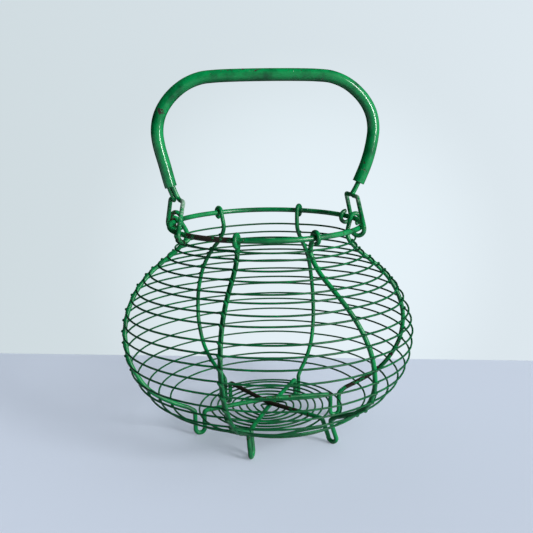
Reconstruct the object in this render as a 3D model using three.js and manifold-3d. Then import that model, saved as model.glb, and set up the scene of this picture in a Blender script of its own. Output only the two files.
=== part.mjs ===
// Wire egg basket with an upright handle, in millimetres, +Z up.
// The origin is on the floor under the middle of the basket, and X runs from one fork
// of the handle to the other. Ribs and hooks are named as seen from the front, which is -Y.
import * as THREE from 'three';
import { mergeVertices } from 'three/addons/utils/BufferGeometryUtils.js';
import Module from 'manifold-3d';

const wasm = await Module();
wasm.setup();

// Wire diameters
const rimWire = 4.5;
const ribWire = 4;
const windingWire = 1.7;
const handleWire = 3.8;

// Rim, an oval that the handle has drawn out along X, measured at the middle of its wire
const rimHalfLength = 84;
const rimHalfWidth = 81;
const rimHeight = 190;
const rimButt = 0.4;

// Ribs, measured at the middle of their wire
const neckRadius = 75.5;
const neckDrop = 15;
const bellyRadius = 127;
const bellyHeight = 92;
const baseHeight = 22.5;

// Feet, each a narrow loop of the rib's own wire
const footRadius = 65.2;
const footLoop = 8.5;
const footLipRise = 1.5;
const wornFlat = 0.4;

// Clearances
const seatGap = 0.35;
const buttGap = 0.3;
const windingGap = 0.35;

// Hooks that the ribs make over the rim
const ribHookSweep = 262;
const ribBend = 3.6;

// Winding, one thin wire wound from the neck down the side and in across the base. It is modelled
// as the thin wall that its turns lie in, as five bands and a plate, each clear of the next.
const windingTopBelowRim = 7.7;
const windingEndAboveFoot = 3.3;
const sideBands = ['winding_neck', 'winding_shoulder', 'winding_belly', 'winding_bowl', 'winding_heel'];
const plateEdgeInset = 2.95;
const plateHoleRadius = 5;

// Handle: two wires side by side, which fork at each end into legs hooked round the rim
const shoulderRise = 23;
const shoulderHalfSpan = 76.8;
const shoulderHalfWidth = 14.2;
const archHalfWidth = 93;
const archWidestRise = 60;
const archTopRise = 44;
const archShift = 2.2;
const archShiftHeight = 30;
const pairGap = 0.3;
const leftPairTwist = 75;
const legBend = 4.5;
const hookLift = 1.5;
const closedHookSweep = 270;
const openHookSweep = 165;

// Grip, a bent tube over both handle wires
const gripDiameter = 10.6;
const gripWall = 0.8;
const bareWire = 12.5;

// Each rib leans as it was bent by hand: its direction round the basket, in degrees,
// at the rim, at the neck, at the belly and at the foot
const ribLean = {
  right: [8, 5, 0, 7.5],
  backRight: [60, 59.5, 61, 57],
  backLeft: [117, 116, 117.5, 121.5],
  left: [159.5, 157, 181, 191],
  frontLeft: [247, 245.5, 247, 249],
  frontRight: [292, 292, 302.5, 314],
};

// How far the end of a bent foot stands outward, and round the basket, from above it
const footSplay = {
  right: [0, 0],
  backRight: [0, 0],
  backLeft: [0, 0],
  left: [0, 0],
  frontLeft: [3.5, 2.5],
  frontRight: [4.2, 3.5],
};

// The left rib's hook stands up, and the others lie close on the rim
const hookRise = {
  right: 0,
  backRight: 0,
  backLeft: 0,
  left: 3.5,
  frontLeft: 0,
  frontRight: 0,
};

// Three wires make the six ribs, each running from rim to rim under the basket.
// They cross in the middle of the base, one on another.
const ribWires = [
  { name: 'rib_wire_left_to_right', ends: ['right', 'left'], level: 1 },
  { name: 'rib_wire_front_right_to_back_left', ends: ['frontRight', 'backLeft'], level: 0 },
  { name: 'rib_wire_front_left_to_back_right', ends: ['frontLeft', 'backRight'], level: -1 },
];
const middleCrossingDrop = 1.1;

// How far out and how far down a rib has gone, as shares of the way from neck to belly
// and then of the way from belly to foot
const shoulderSwell = [[0.16, 0.14], [0.39, 0.26], [0.6, 0.38], [0.78, 0.52], [0.91, 0.68], [0.985, 0.85]];
const bowlSwell = [[0.04, 0.25], [0.14, 0.45], [0.28, 0.63], [0.47, 0.765], [0.69, 0.87], [0.89, 0.945]];

// The handle's outline, as shares of the way from its shoulder to its widest place,
// and then of its half width and of the way up from there to its top
const archFlare = [[0.333, 0.2], [0.69, 0.5], [0.94, 0.78]];
const archCrown = [[0.966, 0.3], [0.88, 0.58], [0.753, 0.81], [0.613, 0.94], [0.473, 0.98], [0.27, 0.995]];

// Where each leg of the handle is hooked on the rim, in degrees, and its place at the fork
const handleHooks = {
  rightBack: { direction: 20.5, sweep: closedHookSweep },
  rightFront: { direction: -27, sweep: openHookSweep },
  leftBack: { direction: 164, sweep: closedHookSweep },
  leftFront: { direction: 204, sweep: closedHookSweep },
};
const rightForkTurn = 7;
const leftForkTurn = 22;

// Fineness of the faceted wires
const routeStep = 0.4;
const bendTolerance = 0.16;
const wireSides = 8;
const gripSides = 12;
const wallSides = 40;
const bandRows = 6;

const greenPaint = { color: '#1f8f55', roughness: 0.42, metalness: 0.1 };
const wornGreenPaint = { color: '#1b7a48', roughness: 0.5, metalness: 0.15 };

// Heights that follow from these
const neckHeight = rimHeight - neckDrop;
const shoulderHeight = rimHeight + shoulderRise;
const archWidestHeight = shoulderHeight + archWidestRise;
const archTopHeight = archWidestHeight + archTopRise;

const radians = THREE.MathUtils.degToRad;
const mix = THREE.MathUtils.lerp;

// Places round the basket

function around(radius, direction, height) {
  const angle = radians(direction);
  return new THREE.Vector3(radius * Math.cos(angle), radius * Math.sin(angle), height);
}

function rimRadiusAt(direction) {
  const angle = radians(direction);
  return 1 / Math.hypot(Math.cos(angle) / rimHalfLength, Math.sin(angle) / rimHalfWidth);
}

// Routes of wires

// A route that only has the points it needs, none of its stretches off by more than the tolerance
function sparse(points, tolerance) {
  const kept = [points[0]];
  const line = new THREE.Line3();
  const nearest = new THREE.Vector3();
  let start = 0;
  for (let end = 2; end < points.length; end += 1) {
    line.set(points[start], points[end]);
    let off = 0;
    for (let i = start + 1; i < end; i += 1) {
      line.closestPointToPoint(points[i], true, nearest);
      off = Math.max(off, nearest.distanceTo(points[i]));
    }
    if (off > tolerance) {
      start = end - 1;
      kept.push(points[start]);
    }
  }
  kept.push(points[points.length - 1]);
  return kept;
}

// A route through the given corners, each bent to the radius as far as its arms allow
function bent(corners, radius) {
  const route = [corners[0]];
  for (let i = 1; i < corners.length - 1; i += 1) {
    const back = corners[i - 1].clone().sub(corners[i]);
    const ahead = corners[i + 1].clone().sub(corners[i]);
    const opening = back.angleTo(ahead);
    const arm = Math.min(radius / Math.tan(opening / 2), back.length() * 0.49, ahead.length() * 0.49);
    const curve = new THREE.QuadraticBezierCurve3(
      corners[i].clone().addScaledVector(back.normalize(), arm),
      corners[i],
      corners[i].clone().addScaledVector(ahead.normalize(), arm),
    );
    route.push(...curve.getPoints(10));
  }
  route.push(corners[corners.length - 1]);
  return route;
}

// An arc round a centre, in the plane of the two given directions
function arc(centre, radius, across, up, from, to) {
  const count = Math.max(4, Math.ceil(Math.abs(radians(to - from)) * radius / routeStep));
  const points = [];
  for (let i = 0; i <= count; i += 1) {
    const angle = radians(mix(from, to, i / count));
    points.push(centre.clone()
      .addScaledVector(across, radius * Math.cos(angle))
      .addScaledVector(up, radius * Math.sin(angle)));
  }
  return points;
}

// Solids

// A curve that runs straight from each of its points to the next
class WireRoute extends THREE.Curve {
  constructor(points) {
    super();
    this.points = points;
  }

  getPoint(t) {
    const last = this.points.length - 1;
    const before = Math.min(Math.floor(t * last + 1e-6), last - 1);
    return this.points[before].clone().lerp(this.points[before + 1], t * last - before);
  }

  getPointAt(t) {
    return this.getPoint(t);
  }

  getTangentAt(t) {
    const last = this.points.length - 1;
    const here = Math.round(t * last);
    const tangent = new THREE.Vector3();
    if (here > 0) {
      tangent.add(this.points[here].clone().sub(this.points[here - 1]).normalize());
    }
    if (here < last) {
      tangent.add(this.points[here + 1].clone().sub(this.points[here]).normalize());
    }
    return tangent.normalize();
  }
}

function roundOutline(radius, sides) {
  const corners = [];
  for (let i = 0; i < sides; i += 1) {
    const angle = (i + 0.5) * 2 * Math.PI / sides;
    corners.push(new THREE.Vector2(radius * Math.cos(angle), radius * Math.sin(angle)));
  }
  return corners;
}

function wireAlong(points, diameter, sides) {
  return new THREE.ExtrudeGeometry(new THREE.Shape(roundOutline(diameter / 2, sides)), {
    steps: points.length - 1,
    bevelEnabled: false,
    extrudePath: new WireRoute(points),
  });
}

function tubeAlong(points, diameter, wall, sides) {
  const section = new THREE.Shape(roundOutline(diameter / 2, sides));
  section.holes.push(new THREE.Path(roundOutline(diameter / 2 - wall, sides)));
  return new THREE.ExtrudeGeometry(section, {
    steps: points.length - 1,
    bevelEnabled: false,
    extrudePath: new WireRoute(points),
  });
}

function solidFrom(geometry) {
  const bare = geometry.clone();
  bare.deleteAttribute('normal');
  bare.deleteAttribute('uv');
  bare.clearGroups();
  const merged = mergeVertices(bare, 1e-4);
  return new wasm.Manifold(new wasm.Mesh({
    numProp: 3,
    vertProperties: merged.attributes.position.array,
    triVerts: Uint32Array.from(merged.index.array),
  }));
}

function geometryFrom(solid) {
  const mesh = solid.getMesh();
  const geometry = new THREE.BufferGeometry();
  geometry.setAttribute('position', new THREE.Float32BufferAttribute(mesh.vertProperties, 3));
  geometry.setIndex(Array.from(mesh.triVerts));
  geometry.computeVertexNormals();
  return geometry;
}

// The feet are worn flat where they stand, so all that would lie under the floor is cut off
function wornAtTheFloor(geometry) {
  const floor = new THREE.BoxGeometry(2 * bellyRadius, 2 * bellyRadius, 2 * footLoop);
  floor.translate(0, 0, -footLoop);
  return geometryFrom(solidFrom(geometry).subtract(solidFrom(floor)));
}

// Rim

function rimSolid() {
  const halfButt = rimButt / 2 / rimHalfWidth;
  const points = [];
  const count = Math.ceil(2 * Math.PI * rimHalfLength / routeStep);
  for (let i = 0; i <= count; i += 1) {
    const angle = Math.PI / 2 + mix(halfButt, 2 * Math.PI - halfButt, i / count);
    points.push(new THREE.Vector3(
      rimHalfLength * Math.cos(angle),
      rimHalfWidth * Math.sin(angle),
      rimHeight,
    ));
  }
  return wireAlong(sparse(points, bendTolerance), rimWire, wireSides);
}

// Ribs

const ribHookRadius = (rimWire + ribWire) / 2 + seatGap;
const footOuterRadius = footRadius + footLoop / 2;
const footInnerRadius = footRadius - footLoop / 2;
const footBottom = ribWire / 2 - wornFlat;
const ribCrossing = ribWire + buttGap;

// Outline of a rib from the inside of the rim to the top of its foot, as radius and height
function ribOutline(rimRadius) {
  const points = [
    new THREE.Vector2(rimRadius - ribHookRadius, rimHeight),
    new THREE.Vector2(neckRadius, neckHeight),
  ];
  for (const [out, down] of shoulderSwell) {
    points.push(new THREE.Vector2(mix(neckRadius, bellyRadius, out), mix(neckHeight, bellyHeight, down)));
  }
  points.push(new THREE.Vector2(bellyRadius, bellyHeight));
  for (const [inward, down] of bowlSwell) {
    points.push(new THREE.Vector2(
      mix(bellyRadius, footOuterRadius, inward),
      mix(bellyHeight, baseHeight + footLipRise, down),
    ));
  }
  return new THREE.SplineCurve(points);
}

// The direction round the basket that a rib leans to, a share of the way down its side
function ribHeading(lean, share) {
  const stations = [0, 0.08, 0.5, 1];
  const headings = new THREE.SplineCurve(stations.map((station, i) => new THREE.Vector2(station, lean[i])));
  const stretch = share < stations[1] ? 0 : share < stations[2] ? 1 : 2;
  const along = (share - stations[stretch]) / (stations[stretch + 1] - stations[stretch]);
  return headings.getPoint((stretch + along) / 3).y;
}

// Half of a rib wire: hooked over the rim, down the side, round the foot and in to the middle
function halfRibRoute(end, crossingHeight) {
  const lean = ribLean[end];
  const [rimDirection, , , footDirection] = lean;
  const up = new THREE.Vector3(0, 0, 1);
  const rimOut = around(1, rimDirection, 0);
  const rimRadius = rimRadiusAt(rimDirection);
  const hookCentre = around(rimRadius, rimDirection, rimHeight);
  const hook = arc(hookCentre, ribHookRadius, rimOut, up, 180 - ribHookSweep, 180);
  for (const point of hook) {
    point.z += point.z > rimHeight ? hookRise[end] : 0;
  }
  const outline = ribOutline(rimRadius);
  const count = Math.ceil(outline.getLength() / routeStep);
  const side = [];
  for (let i = 1; i <= count; i += 1) {
    const place = outline.getPointAt(i / count);
    side.push(around(place.x, ribHeading(lean, i / count), place.y));
  }
  const footOut = around(1, footDirection, 0);
  const loopRadius = footLoop / 2;
  const [splayOut, splayRound] = footSplay[end];
  const loopCentre = around(footRadius + splayOut, footDirection, footBottom + loopRadius)
    .add(around(splayRound, footDirection + 90, 0));
  const loop = arc(loopCentre, loopRadius, footOut, up, 0, -180);
  const bottom = [
    side[side.length - 1],
    around(footOuterRadius, footDirection, baseHeight + footLipRise / 2),
    loop[0],
  ];
  const inward = [
    loop[loop.length - 1],
    around(footInnerRadius, footDirection, baseHeight),
    new THREE.Vector3(0, 0, crossingHeight),
  ];
  return [
    ...hook,
    ...side,
    ...bent(bottom, ribBend).slice(1),
    ...loop.slice(1),
    ...bent(inward, ribBend).slice(1),
  ];
}

function ribWireSolid({ ends, level }) {
  const crossingHeight = baseHeight - middleCrossingDrop + level * ribCrossing;
  const [first, second] = ends.map((end) => halfRibRoute(end, crossingHeight));
  const route = [...first, ...second.reverse().slice(1)];
  return wornAtTheFloor(wireAlong(sparse(route, bendTolerance), ribWire, wireSides));
}

// Winding

const windingStand = (ribWire + windingWire) / 2 + windingGap;

// A ring of wall, as thick as the winding, from places along its middle and the way it faces there
function wallRing(middle) {
  const half = windingWire / 2;
  const face = middle.map(({ place, normal }) => place.clone().addScaledVector(normal, half));
  const back = middle.map(({ place, normal }) => place.clone().addScaledVector(normal, -half));
  const section = [...face.reverse(), ...back, face[0].clone()];
  const ring = new THREE.LatheGeometry(section, wallSides);
  const flatsOut = 1 / Math.cos(Math.PI / wallSides);
  return ring.rotateX(Math.PI / 2).scale(flatsOut, flatsOut, 1);
}

// Down the side the wall lies just outside the ribs
function windingBand(index) {
  const outline = ribOutline(rimHalfLength);
  const length = outline.getLength();
  const bandReach = (length - windingTopBelowRim - windingEndAboveFoot) / sideBands.length;
  const from = windingTopBelowRim + index * bandReach;
  const to = from + bandReach - windingGap;
  const middle = [];
  for (let i = 0; i <= bandRows; i += 1) {
    const share = mix(from, to, i / bandRows) / length;
    const tangent = outline.getTangentAt(share);
    const normal = new THREE.Vector2(-tangent.y, tangent.x);
    middle.push({ place: outline.getPointAt(share).addScaledVector(normal, windingStand), normal });
  }
  return wallRing(middle);
}

// On the base it lies on the ribs, and rises over the highest of their crossings
function windingPlate() {
  const normal = new THREE.Vector2(0, 1);
  const radii = [plateHoleRadius, footInnerRadius, footOuterRadius - plateEdgeInset];
  return wallRing(radii.map((radius) => {
    const rise = Math.max(0, 1 - radius / footInnerRadius) * (ribCrossing - middleCrossingDrop);
    return { place: new THREE.Vector2(radius, baseHeight + rise + windingStand), normal };
  }));
}

// Handle

const handleHookRadius = (rimWire + handleWire) / 2 + seatGap + hookLift / 2;
const pairOffset = (handleWire + pairGap) / 2;

// Half of the handle's outline, from its shoulder to the top, on the side that is given as 1 or -1
function halfArch(side) {
  const half = [[shoulderHalfSpan, shoulderHeight]];
  for (const [out, up] of archFlare) {
    half.push([mix(shoulderHalfSpan, archHalfWidth, out), mix(shoulderHeight, archWidestHeight, up)]);
  }
  half.push([archHalfWidth, archWidestHeight]);
  for (const [out, up] of archCrown) {
    half.push([archHalfWidth * out, mix(archWidestHeight, archTopHeight, up)]);
  }
  const shiftEnd = shoulderHeight + archShiftHeight;
  return half.map(([out, height]) => {
    const shift = archShift * THREE.MathUtils.smoothstep(height, shoulderHeight, shiftEnd);
    return new THREE.Vector3(side * out + shift, 0, height);
  });
}

// Outline of the handle from its right shoulder over the top to its left one
function archOutline() {
  const top = new THREE.Vector3(archShift, 0, archTopHeight);
  return new THREE.CatmullRomCurve3([...halfArch(1), top, ...halfArch(-1).reverse()], false, 'centripetal');
}

const arch = archOutline();
const archLength = arch.getLength();

// The two wires lie one before the other at the right, and twist side by side towards the left
function pairedRoute(side) {
  const count = Math.ceil(archLength / routeStep);
  const points = [];
  for (let i = 0; i <= count; i += 1) {
    const share = i / count;
    const tangent = arch.getTangentAt(share);
    const across = new THREE.Vector3(0, 1, 0);
    const outward = new THREE.Vector3().crossVectors(tangent, across).normalize();
    const twist = radians(mix(-rightForkTurn, -leftPairTwist, share));
    points.push(arch.getPointAt(share)
      .addScaledVector(across, side * pairOffset * Math.cos(twist))
      .addScaledVector(outward, side * pairOffset * Math.sin(twist)));
  }
  return points;
}

// A leg from the fork's corner down to its hook, which goes under the rim and up inside it
function legRoute(place, forkCentre, forkTurn, side) {
  const { direction, sweep } = handleHooks[place];
  const corner = around(shoulderHalfWidth * side, 90 + forkTurn, shoulderHeight).add(forkCentre);
  const out = around(1, direction, 0);
  const up = new THREE.Vector3(0, 0, 1);
  const hookCentre = around(rimRadiusAt(direction), direction, rimHeight - hookLift / 2);
  const hook = arc(hookCentre, handleHookRadius, out, up, 0, -sweep);
  const aboveHook = hook[0].clone().addScaledVector(up, handleWire / 2);
  return { corner, aboveHook, hook };
}

function handleWireSolid(side) {
  const paired = pairedRoute(side);
  const rightFork = new THREE.Vector3(shoulderHalfSpan, 0, 0);
  const leftFork = new THREE.Vector3(-shoulderHalfSpan, 0, 0);
  const right = legRoute(side > 0 ? 'rightBack' : 'rightFront', rightFork, rightForkTurn, side);
  const left = legRoute(side > 0 ? 'leftBack' : 'leftFront', leftFork, leftForkTurn, side);
  const bareCount = Math.ceil(bareWire / 2 / routeStep);
  const middle = paired.slice(bareCount, -bareCount);
  const rightCorners = [right.hook[0], right.aboveHook, right.corner, paired[0], middle[0]];
  const leftCorners = [middle.at(-1), paired.at(-1), left.corner, left.aboveHook, left.hook[0]];
  const route = [
    ...right.hook.slice(1).reverse(),
    ...bent(rightCorners, legBend),
    ...middle.slice(1, -1),
    ...bent(leftCorners, legBend),
    ...left.hook.slice(1),
  ];
  return wireAlong(sparse(route, bendTolerance), handleWire, wireSides);
}

function gripSolid() {
  const from = bareWire / archLength;
  const points = [];
  const count = Math.ceil(archLength * (1 - 2 * from) / routeStep);
  for (let i = 0; i <= count; i += 1) {
    points.push(arch.getPointAt(mix(from, 1 - from, i / count)));
  }
  return tubeAlong(sparse(points, bendTolerance), gripDiameter, gripWall, gripSides);
}

// Basket

const basket = new THREE.Group();

function add(name, geometry, paint) {
  const mesh = new THREE.Mesh(geometry, new THREE.MeshStandardMaterial(paint));
  mesh.name = name;
  basket.add(mesh);
}

add('rim', rimSolid(), greenPaint);
for (const ribWirePlan of ribWires) {
  add(ribWirePlan.name, ribWireSolid(ribWirePlan), greenPaint);
}
sideBands.forEach((name, i) => add(name, windingBand(i), greenPaint));
add('winding_base', windingPlate(), greenPaint);
add('handle_wire_front', handleWireSolid(-1), greenPaint);
add('handle_wire_back', handleWireSolid(1), greenPaint);
add('handle_grip', gripSolid(), wornGreenPaint);

export default basket;
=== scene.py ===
import math
import bpy
from mathutils import Matrix, Vector, noise


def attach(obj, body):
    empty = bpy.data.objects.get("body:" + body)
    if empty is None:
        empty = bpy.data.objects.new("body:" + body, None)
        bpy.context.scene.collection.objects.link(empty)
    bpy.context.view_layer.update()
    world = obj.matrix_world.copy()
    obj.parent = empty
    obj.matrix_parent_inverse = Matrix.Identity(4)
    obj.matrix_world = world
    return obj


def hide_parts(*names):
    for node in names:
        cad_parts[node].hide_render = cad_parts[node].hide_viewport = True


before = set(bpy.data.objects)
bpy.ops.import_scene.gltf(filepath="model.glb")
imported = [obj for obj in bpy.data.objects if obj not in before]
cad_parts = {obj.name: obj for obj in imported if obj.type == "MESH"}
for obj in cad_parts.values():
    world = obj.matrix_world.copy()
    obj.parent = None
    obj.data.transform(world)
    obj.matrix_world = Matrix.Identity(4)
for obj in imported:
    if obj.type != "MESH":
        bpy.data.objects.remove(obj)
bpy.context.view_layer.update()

# The camera stands a little left of the middle and above the rim, as the photographer did,
# and looks down on the basket. Its place is in metres, its angles are in degrees, and its
# lens and sensor in millimetres.
camera_place = (-0.0738, -0.636, 0.2988)
camera_heading = 6.63
camera_tilt = 12.98
camera_roll = -0.81
camera_lens = 49.79
camera_sensor = 36
bpy.ops.object.camera_add(location=camera_place)
camera = bpy.context.object
camera.matrix_world = (
    Matrix.Translation(camera_place)
    @ Matrix.Rotation(math.radians(-camera_heading), 4, "Z")
    @ Matrix.Rotation(math.radians(90 - camera_tilt), 4, "X")
    @ Matrix.Rotation(math.radians(camera_roll), 4, "Z")
)
camera.data.sensor_width = camera_sensor
camera.data.lens = camera_lens
bpy.context.scene.camera = camera
bpy.context.scene.view_settings.view_transform = "Standard"


# The floor is a plain pale table top, faintly blue, that ends at the wall behind the basket.
# It is pale to the eye and to the paint's gloss, and throws less light up than it shows.
floor_colour = (0.615, 0.668, 0.77, 1)
floor_bounce = (0.14, 0.155, 0.18, 1)
floor_glow = 0.26
floor_size = 6.0
wall_distance = 0.181
wall_turn = math.radians(-11.28)
wall_side = Vector((-math.sin(wall_turn), math.cos(wall_turn), 0))
bpy.ops.object.select_all(action="DESELECT")
bpy.ops.mesh.primitive_plane_add(
    size=floor_size,
    location=wall_side * (wall_distance - floor_size / 2),
    rotation=(0, 0, wall_turn),
)
floor = bpy.context.object
floor.name = "studio_floor"


def feed(tree, term, socket):
    """Links another node's output to a socket, or sets the socket to a plain value."""
    if isinstance(term, bpy.types.NodeSocket):
        tree.links.new(term, socket)
    else:
        socket.default_value = term


def worked_out(tree, operation, *terms):
    """What a Math node makes of its terms."""
    math_node = tree.nodes.new("ShaderNodeMath")
    math_node.operation = operation
    for term, socket in zip(terms, math_node.inputs):
        feed(tree, term, socket)
    return math_node.outputs["Value"]


def mixed(tree, share, first, second, kind="RGBA"):
    """The first of two where the share is 0, the second where it is 1, and a mix in between."""
    mix_node = tree.nodes.new("ShaderNodeMix")
    mix_node.data_type = kind
    feed(tree, share, mix_node.inputs["Factor"])
    feed(tree, first, mix_node.inputs["A"])
    feed(tree, second, mix_node.inputs["B"])
    return mix_node.outputs["Result"]


def seen_rays(tree):
    """Two values: 1 for all that the camera, gloss and glass see, and 1 for the camera alone.
    Both are 0 for the light that falls on things."""
    ray = tree.nodes.new("ShaderNodeLightPath").outputs
    seen_or_glossy = worked_out(tree, "MAXIMUM", ray["Is Camera Ray"], ray["Is Glossy Ray"])
    seen = worked_out(tree, "MAXIMUM", seen_or_glossy, ray["Is Transmission Ray"])
    return seen, ray["Is Camera Ray"]


floor_finish = bpy.data.materials.new("studio_floor")
floor_finish.use_nodes = True
floor_tree = floor_finish.node_tree
floor_seen, _ = seen_rays(floor_tree)
floor_shader = floor_tree.nodes["Principled BSDF"].inputs
floor_shader["Roughness"].default_value = 1
floor_shader["Specular IOR Level"].default_value = 0
floor_shader["Emission Color"].default_value = floor_colour
feed(
    floor_tree,
    worked_out(floor_tree, "MULTIPLY", floor_seen, floor_glow),
    floor_shader["Emission Strength"],
)
feed(
    floor_tree,
    mixed(floor_tree, floor_seen, floor_bounce, floor_colour),
    floor_shader["Base Color"],
)
floor.data.materials.append(floor_finish)


# The wall is the plain pale backdrop all round, painted brighter towards the window, with a soft
# painted pool of light behind the basket. The room gives most of its light from the window's
# side, some from behind, and hardly any from the left.
wall_far = (0.63, 0.71, 0.745, 1)
wall_near_window = (0.77, 0.85, 0.91, 1)
daylight = (0.86, 0.94, 1, 1)
left_light = 0.005
right_light = 1.75
back_light = 0.75
window_gloss = 0.45
pool_gain = 1.16


def towards(azimuth, height):
    """The direction at so many degrees round the basket and so many above the floor."""
    azimuth, height = math.radians(azimuth), math.radians(height)
    return Vector((
        math.cos(height) * math.cos(azimuth),
        math.cos(height) * math.sin(azimuth),
        math.sin(height),
    ))


def ramped(tree, value, start, stop, least, most, curve="SMOOTHSTEP"):
    """Least where the value is at the start, most where it is at the stop."""
    ramp = tree.nodes.new("ShaderNodeMapRange")
    ramp.interpolation_type = curve
    ramp.inputs["From Min"].default_value = start
    ramp.inputs["From Max"].default_value = stop
    ramp.inputs["To Min"].default_value = least
    ramp.inputs["To Max"].default_value = most
    feed(tree, value, ramp.inputs["Value"])
    return ramp.outputs["Result"]


def nearness(tree, place, direction):
    """1 straight towards a direction, 0 square to it, and -1 straight away from it."""
    product = tree.nodes.new("ShaderNodeVectorMath")
    product.operation = "DOT_PRODUCT"
    product.inputs[1].default_value = direction
    feed(tree, place, product.inputs[0])
    return product.outputs["Value"]


world = bpy.data.worlds.new("studio")
bpy.context.scene.world = world
world.use_nodes = True
room = world.node_tree
room_place = room.nodes.new("ShaderNodeTexCoord").outputs["Generated"]
windowward = nearness(room, room_place, towards(-34, 8))
backward = nearness(room, room_place, towards(100, 25))
behind_basket = nearness(room, room_place, towards(81, -13))
side_strength = ramped(
    room, windowward, start=0.35, stop=0.95, least=left_light, most=right_light,
)
back_strength = ramped(room, backward, start=0.4, stop=1, least=0, most=back_light)
# A painted pool of light on the wall behind the basket, seen by the camera alone.
pool_strength = ramped(room, behind_basket, start=0.955, stop=1, least=1, most=pool_gain)
# The seen wall is painted brighter towards the window.
wall_share = ramped(room, windowward, start=-0.75, stop=0.15, least=0, most=1, curve="LINEAR")
world_seen, camera_ray = seen_rays(room)
gloss_strength = worked_out(room, "MULTIPLY", side_strength, window_gloss)

seen_wall = room.nodes.new("ShaderNodeBackground")
feed(room, mixed(room, wall_share, wall_far, wall_near_window), seen_wall.inputs["Color"])
feed(
    room,
    mixed(room, camera_ray, gloss_strength, pool_strength, "FLOAT"),
    seen_wall.inputs["Strength"],
)
room_light = room.nodes["Background"]
room_light.inputs["Color"].default_value = daylight
feed(
    room,
    worked_out(room, "ADD", side_strength, back_strength),
    room_light.inputs["Strength"],
)
wall_or_light = room.nodes.new("ShaderNodeMixShader")
feed(room, world_seen, wall_or_light.inputs[0])
feed(room, room_light.outputs[0], wall_or_light.inputs[1])
feed(room, seen_wall.outputs[0], wall_or_light.inputs[2])
feed(room, wall_or_light.outputs[0], room.nodes["World Output"].inputs["Surface"])


# The window's middle, at the right and a little in front, gives the soft streaks of shadow that
# run from the feet to the back left, and its tall pane the thin highlights on the paint.
window_side = towards(-42, 25)
window_energy = 1.9
window_breadth = math.radians(17)
pane_side = towards(-47, 15)
pane_distance = 2.4
pane_width = 0.34
pane_height = 1.9
pane_energy = 95
bpy.ops.object.light_add(type="SUN")
window_light = bpy.context.object
window_light.name = "window_light"
window_light.rotation_euler = window_side.to_track_quat("Z", "Y").to_euler()
window_light.data.energy = window_energy
window_light.data.angle = window_breadth
window_light.visible_glossy = False

bpy.ops.object.light_add(type="AREA", location=pane_side * pane_distance)
window_pane = bpy.context.object
window_pane.name = "window_pane"
window_pane.rotation_euler = pane_side.to_track_quat("Z", "Y").to_euler()
window_pane.data.shape = "RECTANGLE"
window_pane.data.size = pane_width
window_pane.data.size_y = pane_height
window_pane.data.energy = pane_energy
window_pane.visible_diffuse = False
window_pane.visible_camera = False


# The rim is one heavy steel wire bent round to an oval, its two cut ends butted at the back.
# The dip-painted enamel lies thick on it, and is rubbed through to rust where hands and hooks
# have worn it; at the front left its rust is also painted shade. From here on, sizes are in
# millimetres and directions in degrees.
MM = 0.001
rim_wire = 4.5
rim_half_length = 84.0
rim_half_width = 81.0
rim_height = 190.0
rim_joint = 90
rim_joint_gap = 0.05
rim_waviness = 0.35
rim_wave_radius = 1.6
rim_steps = 220
# The enamel: its colours, and where it turns dark, chips down to rust or scuffs pale.
enamel_green = (0.003, 0.32, 0.082, 1)
enamel_deep = (0.003, 0.12, 0.036, 1)
rust_brown = (0.031, 0.021, 0.012, 1)
worn_pale = (0.33, 0.47, 0.36, 1)
rust_roughness = 0.78
deep_below = 0.34
deep_fade = 0.22
rust_depth = 0.2
wear_depth = 0.34
chipped_above = 0.72
chip_fade = 0.03
scuff_fade = 0.14
# The rustiest rim stretch, partly painted shade: its direction, and how far it reaches to both
# sides.
rust_and_shade_middle = 230
rust_and_shade_spread = 24
rust_and_shade_most = 1.6


def rim_radius(direction):
    """How far the rim is from the middle in a direction."""
    angle = math.radians(direction)
    return 1 / math.hypot(math.cos(angle) / rim_half_length, math.sin(angle) / rim_half_width)


def around(radius, direction, height):
    """The place at a radius, a direction and a height."""
    angle = math.radians(direction)
    return Vector((radius * math.cos(angle), radius * math.sin(angle), height))


def wire(name, route, diameter, roundness=6, swell=None):
    """A round wire along a route of points, as a smooth mesh, swollen here and there by paint."""
    bpy.ops.object.select_all(action="DESELECT")
    bpy.ops.curve.primitive_nurbs_path_add(location=(0, 0, 0))
    path = bpy.context.object
    path.name = name
    path.data.splines.clear()
    spline = path.data.splines.new("POLY")
    spline.points.add(len(route) - 1)
    for point, place, thickness in zip(spline.points, route, swell or [1] * len(route)):
        point.co = (place[0] * MM, place[1] * MM, place[2] * MM, 1)
        point.radius = thickness
    path.data.dimensions = "3D"
    path.data.bevel_depth = diameter / 2 * MM
    path.data.bevel_resolution = roundness
    path.data.use_fill_caps = True
    bpy.ops.object.convert(target="MESH")
    bpy.ops.object.shade_smooth()
    piece = bpy.context.object
    piece.data.name = name
    return piece


def blotches(tree, place, scale, detail, roughness):
    """Uneven patches all over a piece."""
    patches = tree.nodes.new("ShaderNodeTexNoise")
    patches.inputs["Scale"].default_value = scale
    patches.inputs["Detail"].default_value = detail
    patches.inputs["Roughness"].default_value = roughness
    feed(tree, place, patches.inputs["Vector"])
    return patches.outputs["Fac"]


def marked(tree, name):
    """The amount that a piece's places are marked with."""
    marks = tree.nodes.new("ShaderNodeAttribute")
    marks.attribute_name = name
    return marks.outputs["Fac"]


def graded(tree, value, start, fade, below=(0, 0, 0, 1), above=(1, 1, 1, 1)):
    """One colour where the value is below the start, and another past the fade above it."""
    ramp = tree.nodes.new("ShaderNodeValToRGB")
    low_end, high_end = ramp.color_ramp.elements
    low_end.position = start
    low_end.color = below
    high_end.position = start + fade
    high_end.color = above
    feed(tree, value, ramp.inputs["Fac"])
    return ramp.outputs["Color"]


def bumped(tree, height, strength, distance):
    """The bumps that a height makes in a surface."""
    bumps = tree.nodes.new("ShaderNodeBump")
    bumps.inputs["Strength"].default_value = strength
    bumps.inputs["Distance"].default_value = distance * MM
    feed(tree, height, bumps.inputs["Height"])
    return bumps


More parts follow.
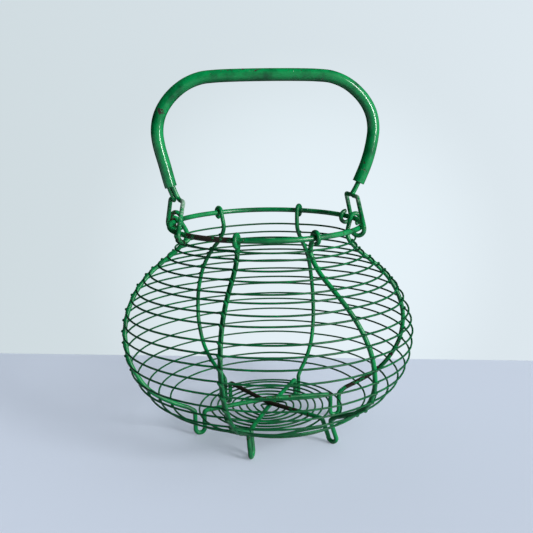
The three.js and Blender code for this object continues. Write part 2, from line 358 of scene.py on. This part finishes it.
def enamel(name, roughness, scuffed_above, thin=0, shine=0.4):
    """Green enamel over steel: darker where thin, chipped to rust, scuffed pale where worn."""
    paint = bpy.data.materials.new(name)
    paint.use_nodes = True
    tree = paint.node_tree
    shader = tree.nodes["Principled BSDF"].inputs
    shader["Specular IOR Level"].default_value = shine
    place = tree.nodes.new("ShaderNodeTexCoord").outputs["Object"]

    pooling = blotches(tree, place, scale=55, detail=5, roughness=0.62)
    tone = graded(tree, pooling, deep_below + thin, deep_fade, enamel_deep, enamel_green)
    chipping = blotches(tree, place, scale=210, detail=4, roughness=0.7)
    chip_depth = worked_out(tree, "MULTIPLY_ADD", marked(tree, "rust"), rust_depth, chipping)
    chipped = graded(tree, chip_depth, chipped_above, chip_fade)
    rubbing = blotches(tree, place, scale=430, detail=6, roughness=0.75)
    rub_depth = worked_out(tree, "MULTIPLY_ADD", marked(tree, "wear"), wear_depth, rubbing)
    rubbed = graded(tree, rub_depth, scuffed_above, scuff_fade)
    pale = mixed(tree, rubbed, tone, worn_pale)
    feed(tree, mixed(tree, chipped, pale, rust_brown), shader["Base Color"])
    dulled = ramped(
        tree, chipped, start=0, stop=1, least=roughness, most=rust_roughness, curve="LINEAR",
    )
    feed(tree, dulled, shader["Roughness"])

    brushed = blotches(tree, place, scale=320, detail=3, roughness=0.5)
    lumps = bumped(tree, brushed, strength=0.2, distance=0.6)
    chip_edges = bumped(tree, chipped, strength=0.6, distance=0.3)
    chip_edges.invert = True
    feed(tree, lumps.outputs["Normal"], chip_edges.inputs["Normal"])
    feed(tree, chip_edges.outputs["Normal"], shader["Normal"])
    return paint


def mark(piece, name, amount):
    """Marks how worn or how rusty each place of a piece is, by a rule that takes the place."""
    marks = piece.data.attributes.new(name, "FLOAT", "POINT")
    for vertex, value in zip(piece.data.vertices, marks.data):
        value.value = amount(vertex.co)


def patchy(place, middle, swing, grain):
    """An amount that wanders about its middle, in smaller patches for a larger grain."""
    return middle + swing * noise.noise(place * grain)


def rim_rust_and_shade(place):
    """Most of the rust is at the front left, between the two hooks there; it is partly painted
    shade.
    """
    direction = math.degrees(math.atan2(place.y, place.x)) % 360
    near = max(0, 1 - abs(direction - rust_and_shade_middle) / rust_and_shade_spread) ** 0.5
    return patchy(place, middle=0.3, swing=0.5, grain=21) + rust_and_shade_most * near


rim_route = []
for step in range(rim_steps + 1):
    direction = rim_joint + rim_joint_gap + (360 - 2 * rim_joint_gap) * step / rim_steps
    wave = rim_waviness * noise.noise(around(rim_wave_radius, direction, 0))
    rim_route.append(around(rim_radius(direction), direction, rim_height + wave))
rim = wire("rim_wire", rim_route, rim_wire, roundness=7)
mark(rim, "wear", lambda place: patchy(place, middle=0.35, swing=0.5, grain=38))
# The rim's rust marks are partly painted shade at its front left.
mark(rim, "rust", rim_rust_and_shade)
rim.data.materials.append(enamel("rim_enamel", roughness=0.3, scuffed_above=0.78))
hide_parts("rim")
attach(rim, "basket")


# Three long wires make the six ribs. Each is hooked over the rim, swells out to the belly,
# turns down into a narrow looped foot, and crosses the base to its other foot and rib.
rib_wire = 4.0
neck = (75.5, 175.0)
belly = (127.0, 92.0)
base_height = 22.5
foot_radius = 65.2
foot_loop = 8.5
foot_lip_rise = 1.5
foot_worn = 0.4
foot_bottom = rib_wire / 2 - foot_worn
rib_bend = 3.6
seat_gap = 0.35
rib_hook_radius = (rim_wire + rib_wire) / 2 + seat_gap
rib_hook_sweep = 262
hook_rise = {"left": 3.5}
# Shares of the way out and down from the neck to the belly, then in and down to the foot.
shoulder_swell = [
    (0.16, 0.14), (0.39, 0.26), (0.6, 0.38), (0.78, 0.52), (0.91, 0.68), (0.985, 0.85),
]
bowl_swell = [
    (0.04, 0.25), (0.14, 0.45), (0.28, 0.63), (0.47, 0.765), (0.69, 0.87), (0.89, 0.945),
]
# The direction of each rib at the rim, the neck, half way down and the foot.
lean_stations = (0, 0.08, 0.5, 1)
rib_lean = {
    "right": (8, 5, 0, 7.5),
    "back_right": (60, 59.5, 61, 57),
    "back_left": (117, 116, 117.5, 121.5),
    "left": (159.5, 157, 181, 191),
    "front_left": (247, 245.5, 247, 249),
    "front_right": (292, 292, 302.5, 314),
}
# How far two of the feet are bent outwards and round.
foot_splay = {"front_left": (3.5, 2.5), "front_right": (4.2, 3.5)}
# The wires lie on each other over the middle of the base.
crossing_gap = 0.3
rib_crossing = rib_wire + crossing_gap
middle_crossing_drop = 1.1
base_level = {
    "right": 1, "left": 1,
    "front_right": 0, "back_left": 0,
    "front_left": -1, "back_right": -1,
}
outline_steps = 14
side_steps = 100
bend_steps = 10
arm_share = 0.49
arc_step = 9
arc_fewest = 6
smooth_below = math.radians(40)
foot_wear = 0.35
foot_wear_fade = 18
# The rustier places: some base wires, the left rib's hook and the right rib from its foot up,
# where the rust is partly painted shade.
base_rust = {"front_right": 2.0, "right": 0.55, "front_left": 0.3}
base_rust_margin = 3
base_rust_top = (base_height + rib_crossing + base_rust_margin) * MM
base_rust_reach = 58 * MM
hook_rust = 0.8
hook_rust_bottom = 183 * MM
hook_rust_side = -70 * MM
# Low on the right rib, the extra rust is partly painted shade.
low_rust_and_shade = 0.9
low_rust_and_shade_side = 58 * MM
low_rust_and_shade_half_width = 30 * MM
low_rust_and_shade_bottom = 8 * MM
low_rust_and_shade_top = 75 * MM
up = Vector((0, 0, 1))


def mix(a, b, share):
    return a + (b - a) * share


def neighbours(corners, i):
    """The corners at both ends of a stretch, with the one before and the one after them."""
    last = len(corners) - 1
    return [corners[max(0, min(last, i + k))] for k in (-1, 0, 1, 2)]


def curving(before, here, after, beyond, share):
    """Part of the way from here to after, on a smooth curve through all four."""
    pull = (after - before) * 0.5
    push = (beyond - here) * 0.5
    return (
        here
        + pull * share
        + (-3 * here + 3 * after - 2 * pull - push) * share * share
        + (2 * here - 2 * after + pull + push) * share * share * share
    )


def smooth_run(corners, steps):
    """Points of a smooth curve through the corners."""
    run = []
    for i in range(len(corners) - 1):
        for step in range(steps):
            run.append(curving(*neighbours(corners, i), step / steps))
    run.append(corners[-1])
    return run


class Measured:
    """A run of points that can be asked for its place at a distance along it."""

    def __init__(self, run):
        self.run = run
        self.reach = [0.0]
        for one, other in zip(run, run[1:]):
            self.reach.append(self.reach[-1] + (other - one).length)
        self.length = self.reach[-1]

    def at(self, distance):
        distance = max(0.0, min(self.length, distance))
        low, high = 0, len(self.reach) - 1
        while high - low > 1:
            middle = (low + high) // 2
            if self.reach[middle] <= distance:
                low = middle
            else:
                high = middle
        stretch = self.reach[high] - self.reach[low]
        return self.run[low].lerp(self.run[high], (distance - self.reach[low]) / stretch)

    def heading(self, distance):
        return (self.at(distance + 0.5) - self.at(distance - 0.5)).normalized()


def rib_outline(radius_at_rim):
    """Outline of a rib from inside the rim to the top of its foot, as radius and height."""
    corners = [Vector((radius_at_rim - rib_hook_radius, rim_height)), Vector(neck)]
    for out, down in shoulder_swell:
        corners.append(Vector((mix(neck[0], belly[0], out), mix(neck[1], belly[1], down))))
    corners.append(Vector(belly))
    for inward, down in bowl_swell:
        corners.append(Vector((
            mix(belly[0], foot_radius + foot_loop / 2, inward),
            mix(belly[1], base_height + foot_lip_rise, down),
        )))
    return Measured(smooth_run(corners, outline_steps))


def rib_direction(end, share):
    """Where a rib leans to, part of the way down it."""
    stretch = sum(share >= station for station in lean_stations[1:-1])
    start, stop = lean_stations[stretch:stretch + 2]
    return curving(*neighbours(rib_lean[end], stretch), (share - start) / (stop - start))


def arc(centre, radius, across, upward, start, stop):
    """Part of a circle, from one angle to another."""
    count = max(arc_fewest, round(abs(stop - start) / arc_step))
    points = []
    for i in range(count + 1):
        angle = math.radians(mix(start, stop, i / count))
        sideways, rise = radius * math.cos(angle), radius * math.sin(angle)
        points.append(centre + across * sideways + upward * rise)
    return points


def bent(corners, radius):
    """A route through the corners, each bent round to the radius as far as its arms allow."""
    route = [corners[0]]
    for i in range(1, len(corners) - 1):
        back = corners[i - 1] - corners[i]
        ahead = corners[i + 1] - corners[i]
        shortest = min(back.length, ahead.length)
        arm = min(radius / math.tan(back.angle(ahead) / 2), shortest * arm_share)
        start = corners[i] + back.normalized() * arm
        stop = corners[i] + ahead.normalized() * arm
        for step in range(bend_steps + 1):
            t = step / bend_steps
            route.append(start * (1 - t) ** 2 + corners[i] * (2 * t * (1 - t)) + stop * t ** 2)
    route.append(corners[-1])
    return route


def crossing_height(end):
    """How high a rib wire passes over the middle of the base."""
    return base_height - middle_crossing_drop + base_level[end] * rib_crossing


def half_rib(end):
    """Half of a rib wire: its hook, its side, its foot and its way in to the middle."""
    rim_direction, foot_direction = rib_lean[end][0], rib_lean[end][3]
    radius_at_rim = rim_radius(rim_direction)
    hook = arc(
        around(radius_at_rim, rim_direction, rim_height),
        rib_hook_radius, around(1, rim_direction, 0), up, 180 - rib_hook_sweep, 180,
    )
    for place in hook:
        if place.z > rim_height:
            place.z += hook_rise.get(end, 0)
    outline = rib_outline(radius_at_rim)
    side = []
    for step in range(1, side_steps + 1):
        place = outline.at(outline.length * step / side_steps)
        side.append(around(place.x, rib_direction(end, step / side_steps), place.y))
    foot_out = around(1, foot_direction, 0)
    splay_out, splay_round = foot_splay.get(end, (0, 0))
    loop_centre = (
        around(foot_radius + splay_out, foot_direction, foot_bottom + foot_loop / 2)
        + around(splay_round, foot_direction + 90, 0)
    )
    loop = arc(loop_centre, foot_loop / 2, foot_out, up, 0, -180)
    bottom = bent([
        side[-1],
        around(foot_radius + foot_loop / 2, foot_direction, base_height + foot_lip_rise / 2),
        loop[0],
    ], rib_bend)
    inward = bent([
        loop[-1],
        around(foot_radius - foot_loop / 2, foot_direction, base_height),
        Vector((0, 0, crossing_height(end))),
    ], rib_bend)
    return hook + side + bottom[1:] + loop[1:] + inward[1:]


def wear_flat(piece):
    """Cuts off all that would lie under the floor, as a foot is worn flat where it stands."""
    bpy.ops.object.select_all(action="DESELECT")
    piece.select_set(True)
    bpy.context.view_layer.objects.active = piece
    bpy.ops.object.mode_set(mode="EDIT")
    bpy.ops.mesh.select_all(action="SELECT")
    bpy.ops.mesh.bisect(
        plane_co=(0, 0, 0), plane_no=(0, 0, 1), use_fill=True, clear_inner=True, threshold=1e-6,
    )
    bpy.ops.object.mode_set(mode="OBJECT")
    bpy.ops.object.shade_smooth_by_angle(angle=smooth_below)


def rib_wear(place):
    """The feet are the most worn."""
    at_foot = max(0, foot_wear - place.z * foot_wear_fade)
    return patchy(place, middle=0.3, swing=0.5, grain=42) + at_foot


def rib_rust_and_shade(place, on_base):
    """Rust all over, and more of it in the rustier places; low on the right rib it is partly
    painted shade.
    """
    in_base = place.z < base_rust_top and place.xy.length < base_rust_reach
    in_hook = place.z > hook_rust_bottom and place.x < hook_rust_side
    at_right = place.x > low_rust_and_shade_side and abs(place.y) < low_rust_and_shade_half_width
    in_low_right = at_right and low_rust_and_shade_bottom < place.z < low_rust_and_shade_top
    more = on_base * in_base + hook_rust * in_hook + low_rust_and_shade * in_low_right
    return patchy(place, middle=0.3, swing=0.5, grain=23) + more


rib_paint = enamel("rib_enamel", roughness=0.34, scuffed_above=0.8, shine=0.28)
for first_end, second_end, cad_node in (
    ("right", "left", "rib_wire_left_to_right"),
    ("front_right", "back_left", "rib_wire_front_right_to_back_left"),
    ("front_left", "back_right", "rib_wire_front_left_to_back_right"),
):
    rib_route = half_rib(first_end) + half_rib(second_end)[::-1][1:]
    rib = wire("rib_%s_to_%s" % (first_end, second_end), rib_route, rib_wire)
    wear_flat(rib)
    mark(rib, "wear", rib_wear)
    mark(rib, "rust", lambda place: rib_rust_and_shade(place, base_rust.get(first_end, 0)))
    rib.data.materials.append(rib_paint)
    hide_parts(cad_node)
    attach(rib, "basket")


# One thin wire is wound round the outside of the ribs, from under the rim down, and in under
# the base. Each round lies level, and at the front left rib it runs down the rib to the next.
# Where it crosses a rib it sinks a little into the paint, which thickens it there.
winding_wire = 1.7
winding_stand = (rib_wire + winding_wire) / 2
winding_start = 160.0
side_turns = 18.3
heel_turns = 0.1
base_start = side_turns + heel_turns
base_turns = 8.9
first_turn_below_rim = 7.7
last_turn_above_foot = 3.3
turn_spread = 0.15
# How much further down than even spacing each round lies, at the front and at the back.
front_direction = 270
front_stray = [0, -2, -2, -1.5, 1, -1.5, -1, -2.5, 0.5, -1, -2.5, -2, -1.5, -1, -1.5, 0.5, 0.5, 1]
back_stray = [-1, 1, 2, 8, 6.5, 4, 4, 4.5, 4.5, 1.5, 1.5, -3.5, -4, -2.5, -2, 0, 0, -1.5]
# A round starts at the step rib, and over its last part comes back up to its own height.
step_rib = "front_left"
first_step = 0.2417
back_share = 0.56
# Angles round a rib and millimetres down it, from one round over to the next.
step_over = [(-62, -0.8), (-36, 0.0), (-9, 1.1), (15, 2.4), (29, 4.0)]
step_away = [(31, -2.6), (38, -1.1), (60, -0.2)]
step_smoothness = 3
crossing_angles = (-54, -36, -18, 0, 18, 36, 54)
sunk = 0.3
paint_bead = 0.2
# Turns on the base and the radius come to: between the feet's legs, inside them, and inwards.
base_run = [(0, 66.4), (0.86, 64.0), (1.02, 57.8), (8.9, 5.0)]
foot_inner_radius = foot_radius - foot_loop / 2
# The last rounds hang down a little between the two front ribs.
front_hang = 2.8
first_hanging = 14.8
fully_hanging = 17.6
hang_roundness = 0.6
# The wire isn't quite even: it bulges and drops a little on its way from rib to rib.
tremor = 0.5
tremor_rate = 5
bulge_track = (0.4, 2.7)
drop_track = (7.9, 4.1)
stretch_step = 5
stretch_fewest = 3
rib_search_steps = 6
just_past = 1e-6
rib_outlines = {}


def outline_under(direction):
    """The outline that a rib in this direction would have, to the nearest degree."""
    key = round(direction) % 360
    if key not in rib_outlines:
        rib_outlines[key] = rib_outline(rim_radius(key))
    return rib_outlines[key]


def gently(share):
    """0 up to a share of 0, 1 from a share of 1 on, and a soft rise between them."""
    share = max(0, min(1, share))
    return share * share * (3 - 2 * share)


def stray_at(turn, strays, pass_direction):
    """The stray of a turn, between the two nearest times that it passes a direction."""
    along = turn - ((pass_direction - winding_start) % 360) / 360
    before = max(0, min(len(strays) - 2, math.floor(along)))
    return mix(strays[before], strays[before + 1], max(0, min(1, along - before)))


def wound_down(turn):
    """How far down the outline the winding would have come as an even spiral with its strays."""
    direction = winding_start + 360 * turn
    wound = turn / side_turns
    share = mix(wound, wound ** 2, turn_spread)
    backness = (1 + math.sin(math.radians(direction))) / 2
    stray = mix(
        stray_at(turn, front_stray, front_direction),
        stray_at(turn, back_stray, front_direction + 180),
        backness,
    )
    end = outline_under(direction).length - last_turn_above_foot
    return mix(first_turn_below_rim, end, share) + stray


def round_of(turn):
    """Which round the winding is in: a round starts and ends at the step rib."""
    return math.floor(turn - first_step)


def down_in_round(turn, lap):
    """How far down the wire lies in a round, which comes back to its own height at the left."""
    if lap < 0:
        return wound_down(turn)
    behind = (turn - first_step - lap - back_share) / (1 - back_share)
    rise = wound_down(first_step + lap) - wound_down(first_step + lap + 1)
    return wound_down(turn) + rise * gently(behind)


def base_radius(turn):
    """How far from the middle the winding lies on the base."""
    along = max(0, min(base_turns, turn - base_start))
    for (start, outer), (stop, inner) in zip(base_run, base_run[1:]):
        if along <= stop:
            return mix(outer, inner, (along - start) / (stop - start))


def laid_at(turn, lap):
    """Where the winding lies if it is led evenly round: outside the ribs, then on the base."""
    direction = winding_start + 360 * turn
    if turn > base_start:
        return around(base_radius(turn), direction, base_height - winding_stand)
    if turn > side_turns:
        share = (turn - side_turns) / (base_start - side_turns)
        return laid_at(side_turns, lap).lerp(laid_at(base_start + just_past, lap), share)
    outline = outline_under(direction)
    down = down_in_round(turn, lap)
    place, heading = outline.at(down), outline.heading(down)
    radius = place.x - heading.y * winding_stand
    return around(radius, direction, place.y + heading.x * winding_stand)


def rib_axis(end, down):
    """The middle of a rib so far down it."""
    outline = outline_under(rib_lean[end][0])
    place = outline.at(down)
    return around(place.x, rib_direction(end, down / outline.length), place.y)


def base_axis(end, radius):
    """The middle of a base wire so far from the basket's middle."""
    rise = max(0, 1 - radius / foot_inner_radius) * (crossing_height(end) - base_height)
    return around(radius, rib_lean[end][3], base_height + rise)


def turn_at_rib(end, lap):
    """How many turns the winding has made when it comes to a rib. The rib leans as it goes down,
    so the turn is found step by step."""
    early = 20
    turn = lap
    for _ in range(rib_search_steps):
        if turn > side_turns:
            middle = base_axis(end, base_radius(min(turn, base_start + base_turns)))
        else:
            middle = rib_axis(end, down_in_round(turn, round_of(turn)))
        direction = math.degrees(math.atan2(middle.y, middle.x))
        turn = lap + ((direction - winding_start + early) % 360 - early) / 360
    return turn


def on_rib(end, down, angle):
    """A place on the outside of a rib, so far down it and turned so far round it."""
    middle = rib_axis(end, down)
    onward = (rib_axis(end, down + 1) - middle).normalized()
    sideways = around(1, math.degrees(math.atan2(middle.y, middle.x)) + 90, 0)
    out = onward.cross(sideways).normalized()
    angle = math.radians(angle)
    return middle + (out * math.cos(angle) + sideways * math.sin(angle)) * (winding_stand - sunk)


def over_rib(end, turn):
    """The winding's way over a rib: straight across, or down it to the next round."""
    next_lap = round(turn - first_step)
    if end == step_rib and next_lap > 0:
        above = down_in_round(turn, next_lap - 1)
        below = down_in_round(turn, next_lap)
        places = [on_rib(end, above + along, angle) for angle, along in step_over]
        places += [on_rib(end, below + along, angle) for angle, along in step_away]
        return smooth_run(places, step_smoothness)
    down = down_in_round(turn, round_of(turn))
    return [on_rib(end, down, angle) for angle in crossing_angles]


def under_base_wire(end, turn):
    """The winding's place under a base wire, drawn towards the lowest wire near the middle."""
    middle = base_axis(end, base_radius(turn))
    lowest = base_axis("front_left", base_radius(turn))
    return [middle - up * (winding_stand - sunk + (middle.z - lowest.z) / 2)]


def hang_at(turn, share):
    """How far the last rounds hang down, part of the way between the two front ribs."""
    late = gently((turn - first_hanging) / (fully_hanging - first_hanging))
    return front_hang * late * math.sin(math.pi * share) ** hang_roundness


def beaded(count):
    """How much thicker the paint makes the wire at each point of a crossing."""
    return [1 + paint_bead * math.sin(math.pi * (i + 0.5) / count) for i in range(count)]


crossings = []
for lap in range(math.ceil(base_start + base_turns)):
    for end in rib_lean:
        turn = turn_at_rib(end, lap)
        on_foot = turn > base_start and base_radius(turn) > foot_inner_radius
        if turn < base_start + base_turns and not on_foot:
            crossing = under_base_wire if turn > side_turns else over_rib
            crossings.append((turn, end, crossing(end, turn)))
crossings.sort(key=lambda crossing: crossing[0])
winding_route = []
winding_swell = []
for (turn, end, over), (next_turn, next_end, next_over) in zip(crossings, crossings[1:]):
    lap = round_of((turn + next_turn) / 2)
    leave = over[-1] - laid_at(turn, lap)
    arrive = next_over[0] - laid_at(next_turn, lap)
    hanging = (end, next_end) == ("front_left", "front_right") and turn < side_turns
    winding_route += over
    winding_swell += beaded(len(over)) if turn < side_turns else [1] * len(over)
    steps = max(stretch_fewest, round((next_turn - turn) * 360 / stretch_step))
    for step in range(1, steps):
        share = step / steps
        here = mix(turn, next_turn, share)
        free = tremor * math.sin(math.pi * share)
        bulge = free * noise.noise(Vector((here * tremor_rate, *bulge_track)))
        drop = free * noise.noise(Vector((here * tremor_rate, *drop_track)))
        if hanging:
            drop -= hang_at(turn, share)
        shaken = around(bulge, winding_start + 360 * here, drop)
        winding_route.append(laid_at(here, lap) + leave.lerp(arrive, share) + shaken)
        winding_swell.append(1)
last_over = crossings[-1][2]
winding_route += last_over
winding_swell += [1] * len(last_over)

winding = wire("winding_wire", winding_route, winding_wire, roundness=2, swell=winding_swell)
mark(winding, "wear", lambda place: patchy(place, middle=0.25, swing=0.5, grain=40))
mark(winding, "rust", lambda place: patchy(place, middle=0.25, swing=0.5, grain=25))
winding_paint = enamel(
    "winding_enamel", roughness=0.4, scuffed_above=0.86, thin=0.19, shine=0.18,
)
winding.data.materials.append(winding_paint)
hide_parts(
    "winding_neck", "winding_shoulder", "winding_belly",
    "winding_bowl", "winding_heel", "winding_base",
)
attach(winding, "basket")


# Two wires run side by side through the grip. At each end they part, one to the front and one
# to the back, bend at a square shoulder, and come down as two legs hooked round the rim.
# The shoulders are paler.
handle_wire = 3.8
shoulder_height = 213.0
shoulder_half_span = 76.8
shoulder_half_width = 14.2
arch_half_width = 93.0
arch_widest_height = 273.0
arch_top_height = 316.8
arch_shift = 2.2
arch_shift_height = 30.0
# Shares of the way out and up from the shoulder to the widest place, then across and up.
arch_flare = [(0.333, 0.2), (0.69, 0.5), (0.94, 0.78)]
arch_crown = [
    (0.966, 0.3), (0.88, 0.58), (0.753, 0.81), (0.613, 0.94), (0.473, 0.98), (0.27, 0.995),
]
arch_steps = 16
pair_gap = 0.3
pair_offset = (handle_wire + pair_gap) / 2
pair_steps = 240
left_pair_twist = 60
right_fork_turn = 7
left_fork_turn = 22
leg_bend = 4.5
hook_lift = 1.5
handle_hook_radius = (rim_wire + handle_wire) / 2 + seat_gap + hook_lift / 2
bare_wire = 12.5
# Where each hook stands on the rim, and how far it goes round it.
handle_hooks = {
    "right_back": (20.5, 270),
    "right_front": (-28.5, 165),
    "left_back": (164, 270),
    "left_front": (210, 165),
}
shoulder_paleness = 1.2
left_pale_reach = 6 * MM
right_pale_reach = 8 * MM
left_hooks_rust = 0.5
left_hooks_top = 197 * MM


def half_arch(side):
    """Corners of half of the arch, from the shoulder to near the top."""
    half = [(shoulder_half_span, shoulder_height)]
    for out, rise in arch_flare:
        half.append((
            mix(shoulder_half_span, arch_half_width, out),
            mix(shoulder_height, arch_widest_height, rise),
        ))
    half.append((arch_half_width, arch_widest_height))
    for out, rise in arch_crown:
        half.append((arch_half_width * out, mix(arch_widest_height, arch_top_height, rise)))
    places = []
    for out, height in half:
        shift = arch_shift * gently((height - shoulder_height) / arch_shift_height)
        places.append(Vector((side * out + shift, 0, height)))
    return places


arch_corners = half_arch(1) + [Vector((arch_shift, 0, arch_top_height))] + half_arch(-1)[::-1]
arch = Measured(smooth_run(arch_corners, arch_steps))


def paired_route(side):
    """One wire of the pair, from the right shoulder over the arch to the left one."""
    points = []
    across = Vector((0, 1, 0))
    for step in range(pair_steps + 1):
        share = step / pair_steps
        distance = arch.length * share
        outward = arch.heading(distance).cross(across).normalized()
        twist = math.radians(mix(-right_fork_turn, -left_pair_twist, share))
        points.append(
            arch.at(distance)
            + across * (side * pair_offset * math.cos(twist))
            + outward * (side * pair_offset * math.sin(twist))
        )
    return points


def leg(hook_name, fork_middle, fork_turn, side):
    """A leg's corner at the shoulder, the place where it comes down on the rim, and its hook."""
    direction, sweep = handle_hooks[hook_name]
    corner = around(shoulder_half_width * side, 90 + fork_turn, shoulder_height) + fork_middle
    centre = around(rim_radius(direction), direction, rim_height - hook_lift / 2)
    hook = arc(centre, handle_hook_radius, around(1, direction, 0), up, 0, -sweep)
    return corner, hook[0] + up * (handle_wire / 2), hook


def leg_paleness(place, left_corner, right_corner):
    """The bare corners of the legs are the palest."""
    at_left = max(0, 1 - (place - left_corner * MM).length / left_pale_reach)
    at_right = max(0, 1 - (place - right_corner * MM).length / right_pale_reach)
    usual = patchy(place, middle=0.3, swing=0.4, grain=45)
    return usual + shoulder_paleness * at_left + shoulder_paleness * at_right


def leg_rust(place):
    """The hooks at the left are the rustiest."""
    at_left_hooks = place.z < left_hooks_top and place.x < 0
    return patchy(place, middle=0.3, swing=0.5, grain=33) + left_hooks_rust * at_left_hooks


handle_paint = enamel("handle_enamel", roughness=0.32, scuffed_above=0.78)
right_fork = Vector((shoulder_half_span, 0, 0))
left_fork = Vector((-shoulder_half_span, 0, 0))
skipped = math.ceil(pair_steps * bare_wire / 2 / arch.length)
for which_way, side in (("front", -1), ("back", 1)):
    paired = paired_route(side)
    middle = paired[skipped:-skipped]
    right_corner, right_above, right_hook = leg(
        "right_" + which_way, right_fork, right_fork_turn, side,
    )
    left_corner, left_above, left_hook = leg(
        "left_" + which_way, left_fork, left_fork_turn, side,
    )
    route = (
        right_hook[:0:-1]
        + bent([right_hook[0], right_above, right_corner, paired[0], middle[0]], leg_bend)
        + middle[1:-1]
        + bent([middle[-1], paired[-1], left_corner, left_above, left_hook[0]], leg_bend)
        + left_hook[1:]
    )
    handle_piece = wire("handle_%s_wire" % which_way, route, handle_wire)
    mark(handle_piece, "wear", lambda place: leg_paleness(place, left_corner, right_corner))
    mark(handle_piece, "rust", leg_rust)
    handle_piece.data.materials.append(handle_paint)
    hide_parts("handle_wire_" + which_way)
    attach(handle_piece, "handle")


# The grip is a steel tube threaded on both wires before they were bent, and bent with them.
# Its paint is darkest along the top, and has one chip at the left down to the rust.
grip_diameter = 10.6
grip_wall = 0.8
grip_end_round = 0.25
grip_end_angle = math.radians(50)
grip_steps = 160
grip_top_share = 0.3
grip_top = (arch_top_height + grip_diameter * grip_top_share) * MM
top_rust = 0.3
chip_place = Vector((-0.088, -0.0053, 0.288))
chip_reach = 5 * MM
chip_rust = 2.3
grip_route = []
for step in range(grip_steps + 1):
    grip_route.append(arch.at(mix(bare_wire, arch.length - bare_wire, step / grip_steps)))
grip = wire("grip_tube", grip_route, grip_diameter, roundness=10)
bpy.ops.object.mode_set(mode="EDIT")
bpy.ops.mesh.select_all(action="DESELECT")
bpy.ops.object.mode_set(mode="OBJECT")
for face in grip.data.polygons:
    end_cap = len(face.vertices) > 4
    face.select = end_cap
bpy.ops.object.mode_set(mode="EDIT")
bpy.ops.mesh.delete(type="ONLY_FACE")
bpy.ops.object.mode_set(mode="OBJECT")
tube_wall = grip.modifiers.new("tube_wall", "SOLIDIFY")
tube_wall.thickness = grip_wall * MM
tube_wall.offset = -1
tube_wall.use_even_offset = True
bpy.ops.object.modifier_apply(modifier="tube_wall")
eased_ends = grip.modifiers.new("eased_ends", "BEVEL")
eased_ends.width = grip_end_round * MM
eased_ends.segments = 2
eased_ends.limit_method = "ANGLE"
eased_ends.angle_limit = grip_end_angle
bpy.ops.object.modifier_apply(modifier="eased_ends")
bpy.ops.object.shade_smooth_by_angle(angle=smooth_below)


def grip_rust(place):
    on_top = place.z > grip_top
    at_chip = max(0, 1 - (place - chip_place).length / chip_reach)
    usual = patchy(place, middle=0.3, swing=0.6, grain=19)
    return usual + top_rust * on_top + chip_rust * at_chip


mark(grip, "wear", lambda place: patchy(place, middle=0.35, swing=0.45, grain=30))
mark(grip, "rust", grip_rust)
grip.data.materials.append(enamel("grip_enamel", roughness=0.17, scuffed_above=0.82))
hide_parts("handle_grip")
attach(grip, "handle")
